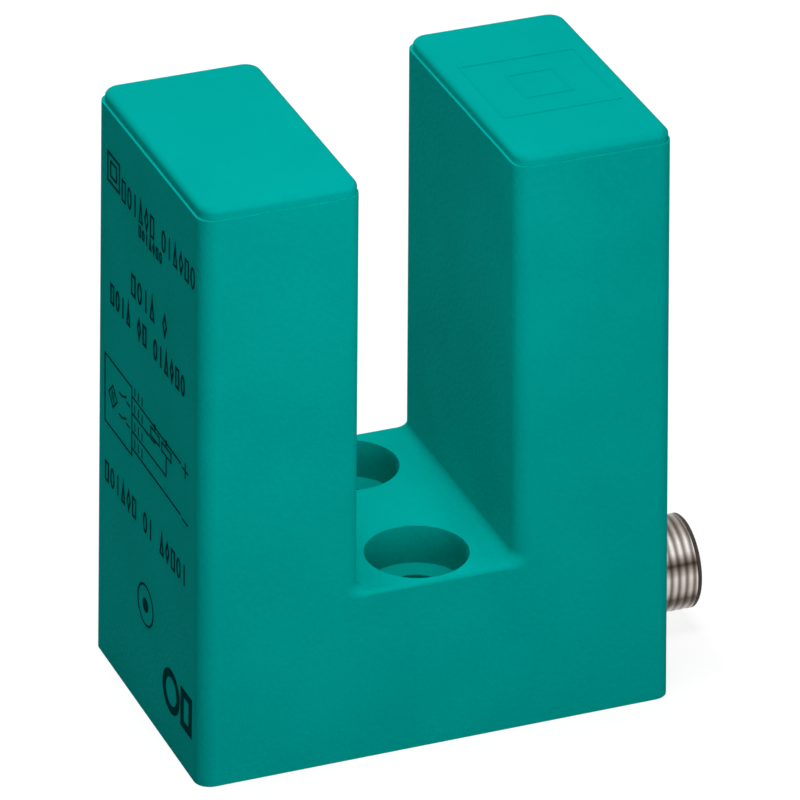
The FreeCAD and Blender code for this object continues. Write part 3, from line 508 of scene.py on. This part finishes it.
class Print:
    """Flat closed shapes of ink, drawn in y and z on the left wall."""

    def __init__(self):
        self.vertices = []
        self.faces = []

    def place(self, y, z, out):
        x = -BASE_HALF_WIDTH + z * math.tan(DRAFT)
        return (x - out * math.cos(DRAFT), y, z + out * math.sin(DRAFT))

    def polygon(self, points):
        """A filled shape; its points run anticlockwise as seen from outside the wall."""
        first, count = len(self.vertices), len(points)
        self.vertices += [self.place(y, z, PRINT_THICKNESS) for y, z in points]
        self.vertices += [self.place(y, z, 0.0) for y, z in points]
        self.faces.append(tuple(range(first, first + count)))
        self.faces.append(tuple(range(first + 2 * count - 1, first + count - 1, -1)))
        for i in range(count):
            j = (i + 1) % count
            self.faces.append((first + i, first + count + i, first + count + j, first + j))

    def bar(self, y0, z0, y1, z1, stroke):
        """A straight line of that stroke between two points."""
        length = math.hypot(y1 - y0, z1 - z0)
        across_y, across_z = (z1 - z0) / length * stroke / 2, -(y1 - y0) / length * stroke / 2
        self.polygon([
            (y0 + across_y, z0 + across_z), (y0 - across_y, z0 - across_z),
            (y1 - across_y, z1 - across_z), (y1 + across_y, z1 + across_z)])

    def frame(self, y0, z0, y1, z1, stroke):
        """A rectangle's outline, mitred at its corners."""
        self.band(*(
            [(y0 + half, z1 + half), (y0 + half, z0 - half), (y1 - half, z0 - half), (y1 - half, z1 + half)]
            for half in (stroke / 2, -stroke / 2)))

    def band(self, outer, inner):
        """A closed band between two rings of as many points."""
        first, count = len(self.vertices), len(outer)
        for points, out in ((outer, PRINT_THICKNESS), (inner, PRINT_THICKNESS), (inner, 0.0), (outer, 0.0)):
            self.vertices += [self.place(y, z, out) for y, z in points]
        for i in range(4):
            self.faces += bridge(first + i * count, first + (i + 1) % 4 * count, count)

    def ring(self, y, z, radius, stroke, steps=40):
        angles = [2.0 * math.pi * i / steps for i in range(steps)]
        self.band(*(
            [(y - r * math.cos(a), z - r * math.sin(a)) for a in angles]
            for r in (radius + stroke / 2, radius - stroke / 2)))

    def dot(self, y, z, radius, steps=20):
        angles = [2.0 * math.pi * i / steps for i in range(steps)]
        self.polygon([(y - radius * math.cos(a), z - radius * math.sin(a)) for a in angles])

    def outline(self, y, z, corners, stroke):
        """A convex outline; its corners are offsets to the right and up, anticlockwise."""
        rings = []
        for shift in (stroke / 2, -stroke / 2):
            ring = []
            for i, (u, v) in enumerate(corners):
                before, after = corners[i - 1], corners[(i + 1) % len(corners)]
                first = math.atan2(v - before[1], u - before[0])
                turn = (math.atan2(after[1] - v, after[0] - u) - first) % (2.0 * math.pi)
                reach, away = shift / math.cos(turn / 2), first + turn / 2 - math.pi / 2
                ring.append((y - u - reach * math.cos(away), z + v + reach * math.sin(away)))
            rings.append(ring)
        self.band(*rings)

    def sign(self, kind, y, z, width, height, stroke):
        """One simple shape: square, diamond, triangle, oval, or a plain tick."""
        a, b = (width - stroke) / 2, (height - stroke) / 2
        corners = {
            "square": [(-a, -b), (a, -b), (a, b), (-a, b)],
            "diamond": [(0, -b), (a, 0), (0, b), (-a, 0)],
            "triangle": [(-a, -b), (a, -b), (0, b)],
            "oval": [
                (a * math.cos(math.radians(15 * i)), b * math.sin(math.radians(15 * i))) for i in range(24)],
        }
        if kind in corners:
            self.outline(y, z, corners[kind], stroke)
        else:
            self.bar(y, z - height / 2, y, z + height / 2, stroke)

    def row(self, y0, y1, z0, z1, groups, stroke, kinds=SIGNS):
        """Simple shapes in groups, a blank the width of one between groups."""
        places = sum(groups) + len(groups) - 1
        pitch = (y1 - y0) / max(places - 1, 1)
        index = drawn = 0
        for group in groups:
            for _ in range(group):
                kind = kinds[drawn % len(kinds)]
                self.sign(
                    kind, y0 + pitch * index, (z0 + z1) / 2, abs(pitch) * SIGN_WIDTH, z1 - z0, stroke)
                index += 1
                drawn += 1
            index += 1

    def piece(self, name):
        return add_piece(name, self.vertices, self.faces, [INK])


def make_rows():
    """Rows of simple shapes, and two outlined squares at the head of the first."""
    ink = Print()
    for square in (
        # y and z of two corners, stroke
        (10.9, 51.7, 7.7, 54.6, 0.28),
        (10.1, 52.4, 8.5, 53.9, 0.24),
    ):
        ink.frame(*square)
    for row in (
        # first and last y, lower and upper z, signs in each group, stroke
        (6.5, -12.0, 51.3, 53.6, (6, 6), 0.26),
        (2.1, -3.5, 49.8, 51.0, (7,), 0.22),
        (3.8, -4.7, 42.8, 45.1, (4, 1), 0.30),
        (9.6, -9.6, 39.1, 41.3, (4, 2, 6), 0.30),
        (11.0, -10.3, 19.5, 21.7, (6, 2, 5), 0.28),
    ):
        ink.row(*row)
    return ink.piece("printed_rows")


def make_diagram():
    """Wiring diagram: the sensor's box, four wires, two loads, plus and minus."""
    ink = Print()
    thin, line = 0.16, 0.2
    box_y, box_z = (11.6, 4.1), (25.9, 33.1)
    wires_end = -9.2
    ink.frame(box_y[0], box_z[0], box_y[1], box_z[1], line)
    for start_z, end_z in ((32.2, 31.9), (26.7, 26.5)):
        ink.bar(box_y[1], start_z, wires_end, end_z, line)

    load_height, dot_rise, dot_radius = 0.9, 1.4, 0.3
    for wire_z, wire_y, load_y, load_z in (
        (30.4, -2.2, (-1.1, -3.4), 30.7),
        (28.5, -5.3, (-4.1, -6.6), 30.6),
    ):
        ink.bar(box_y[1], wire_z, wire_y, wire_z, line)
        ink.bar(wire_y, wire_z, wire_y, load_z, line)
        ink.frame(load_y[0], load_z, load_y[1], load_z + load_height, line)
        ink.dot(wire_y, load_z + dot_rise, dot_radius)

    sign_y, sign_half, plus_z, minus_z = -10.4, 0.8, 31.7, 26.3
    ink.bar(sign_y + sign_half, plus_z, sign_y - sign_half, plus_z, line)
    ink.bar(sign_y, plus_z - sign_half, sign_y, plus_z + sign_half, line)
    ink.bar(sign_y + sign_half, minus_z, sign_y - sign_half, minus_z, line)

    y, z, half, inner_half, tick_half = 9.35, 29.5, 1.3, 1.04, 0.6
    ink.band(*([(y + r, z), (y, z - r), (y - r, z), (y, z + r)] for r in (half, inner_half)))
    for aside in (0.25, -0.25):
        ink.bar(y + aside, z - tick_half, y + aside, z + tick_half, thin)

    start, hinge, tip, end, lift = 7.7, 6.8, 5.6, 4.7, 0.5
    for z in (30.8, 28.5):
        ink.bar(start, z, hinge, z, line)
        ink.bar(hinge, z, tip, z + lift, line)
        ink.bar(tip, z, end, z, line)

    ticks_y, tick_height = (3.3, 1.3), 0.9
    for z in (32.5, 30.7, 28.8, 27.0):
        ink.row(*ticks_y, z, z + tick_height, (3,), thin, TICKS)
    return ink.piece("printed_diagram")


def make_marks():
    """Plain ring with a dot and, low on the wall, two bold simple shapes."""
    ink = Print()
    fine, bold = 0.24, 0.85
    target_y, target_z, target_radius, dot_radius = 0.16, 11.8, 2.1, 0.75
    ink.ring(target_y, target_z, target_radius, fine)
    ink.dot(target_y, target_z, dot_radius)
    ring_y, ring_z, ring_radius = -7.0, 6.3, 1.9
    ink.ring(ring_y, ring_z, ring_radius, bold)
    square_y, square_z = (-10.0, -12.2), (4.6, 8.0)
    ink.frame(square_y[0], square_z[0], square_y[1], square_z[1], bold)
    return ink.piece("printed_marks")


make_lid("left_lid", "left_cap", -1, LEFT_LID_X, TOP_HEIGHT)
make_lid("right_lid", "right_cap", 1, RIGHT_LID_X, TOP_HEIGHT - EMBOSS_HEIGHT)
make_emboss()
make_plug()
make_rows()
make_diagram()
make_marks()


# Floor, world, light and camera

FLOOR_HALF = 3000.0
FLOOR_LEVEL = -0.02
FLOOR_BOUNCE = 0.28  # what the floor gives back to the object
FLOOR_GLOW = 0.86    # what the camera and the metal see of it, with
FLOOR_SHADE = 0.2    # this much that takes the object's shadow
AMBIENT = 0.01


def grey(level):
    return (level, level, level, 1.0)


def shows_background(tree):
    """1 for camera, glossy and transmission rays, 0 for the others."""
    path = tree.nodes.new("ShaderNodeLightPath")
    value = path.outputs["Is Camera Ray"]
    for name in ("Is Glossy Ray", "Is Transmission Ray"):
        value = maths(tree, "MAXIMUM", value, path.outputs[name])
    return value


def surface(tree, lit, seen, output):
    """Joins a shader that lights the object and one that is seen behind it to the output."""
    choice = tree.nodes.new("ShaderNodeMixShader")
    tree.links.new(shows_background(tree), choice.inputs["Fac"])
    tree.links.new(lit.outputs[0], choice.inputs[1])
    tree.links.new(seen.outputs[0], choice.inputs[2])
    end = tree.nodes.new(output)
    tree.links.new(choice.outputs[0], end.inputs["Surface"])


def make_floor():
    mesh = bpy.data.meshes.new("floor")
    corners = ((-1, -1), (1, -1), (1, 1), (-1, 1))
    mesh.from_pydata(
        [(x * FLOOR_HALF * MM, y * FLOOR_HALF * MM, FLOOR_LEVEL * MM) for x, y in corners],
        [], [(0, 1, 2, 3)])
    floor = bpy.data.objects.new("floor", mesh)
    bpy.context.scene.collection.objects.link(floor)
    material = bpy.data.materials.new("pale_floor")
    material.use_nodes = True
    tree = material.node_tree
    tree.nodes.clear()
    bounce = tree.nodes.new("ShaderNodeBsdfDiffuse")
    bounce.inputs["Color"].default_value = grey(FLOOR_BOUNCE)
    glow = tree.nodes.new("ShaderNodeEmission")
    glow.inputs["Color"].default_value = grey(FLOOR_GLOW)
    pale = tree.nodes.new("ShaderNodeBsdfDiffuse")
    pale.inputs["Color"].default_value = grey(FLOOR_SHADE)
    both = tree.nodes.new("ShaderNodeAddShader")
    tree.links.new(glow.outputs[0], both.inputs[0])
    tree.links.new(pale.outputs[0], both.inputs[1])
    surface(tree, bounce, both, "ShaderNodeOutputMaterial")
    mesh.materials.append(material)


def make_world():
    world = bpy.data.worlds.new("studio")
    world.use_nodes = True
    bpy.context.scene.world = world
    tree = world.node_tree
    tree.nodes.clear()
    ambient, white = (tree.nodes.new("ShaderNodeBackground") for _ in range(2))
    for background, strength in ((ambient, AMBIENT), (white, 1.0)):
        background.inputs["Color"].default_value = grey(1.0)
        background.inputs["Strength"].default_value = strength
    surface(tree, ambient, white, "ShaderNodeOutputWorld")


LAMPS = (
    # name, place, width and height, watts
    ("overhead", (0.0, -40.0, 800.0), 180.0, 2.4),
    ("top_left", (-330.0, -40.0, 730.0), 300.0, 0.89),
    ("side", (560.0, -320.0, 250.0), 250.0, 0.66),
    ("front", (-14.0, -170.0, 52.0), 60.0, 0.086),
    ("gap", (-24.0, -60.0, 115.0), 40.0, 0.0095),
    ("gap_low", (-8.0, -64.0, 66.0), 40.0, 0.0039),
    ("back", (0.0, 560.0, 500.0), 250.0, 1.4),
    ("back_left", (-220.0, 560.0, 300.0), 200.0, 0.87),
    ("behind", (-18.0, 300.0, 75.0), 120.0, 0.2),
)
LAMP_AIM = (0.0, 0.0, 30.0)

# The photograph's camera, solved from the object's edges. Its angles are in degrees:
# to the right of +Y, down from level, and anticlockwise about its own axis.
CAMERA_PLACE = (-235.332, -595.199, 376.87)
CAMERA_HEADING = 21.7207
CAMERA_TILT = 28.5024
CAMERA_ROLL = 0.458
CAMERA_LENS = 347.59
SENSOR_WIDTH = 36.0
CLIP_START = 10.0
CLIP_END = 20000.0


def add_lamp(name, place, size, watts):
    """A soft square lamp, aimed at the object's middle and not mirrored in the metal."""
    light = bpy.data.lights.new(name, "AREA")
    light.shape = "SQUARE"
    light.size = size * MM
    light.energy = watts
    lamp = bpy.data.objects.new(name, light)
    lamp.visible_camera = False
    lamp.visible_glossy = False
    lamp.location = Vector(place) * MM
    aim = Vector(LAMP_AIM) * MM - lamp.location
    lamp.rotation_euler = aim.to_track_quat("-Z", "Y").to_euler()
    bpy.context.scene.collection.objects.link(lamp)


def add_camera():
    """A camera in its place, turned from looking straight down by its three angles."""
    data = bpy.data.cameras.new("camera")
    data.sensor_width = SENSOR_WIDTH
    data.lens = CAMERA_LENS
    data.clip_start = CLIP_START * MM
    data.clip_end = CLIP_END * MM
    camera = bpy.data.objects.new("camera", data)
    stand = Matrix.Translation(Vector(CAMERA_PLACE) * MM)
    for angle, axis in ((-CAMERA_HEADING, "Z"), (90.0 - CAMERA_TILT, "X"), (CAMERA_ROLL, "Z")):
        stand = stand @ Matrix.Rotation(math.radians(angle), 4, axis)
    camera.matrix_world = stand
    bpy.context.scene.collection.objects.link(camera)
    bpy.context.scene.camera = camera


make_floor()
make_world()
for lamp in LAMPS:
    add_lamp(*lamp)
add_camera()
bpy.context.scene.view_settings.view_transform = "Standard"
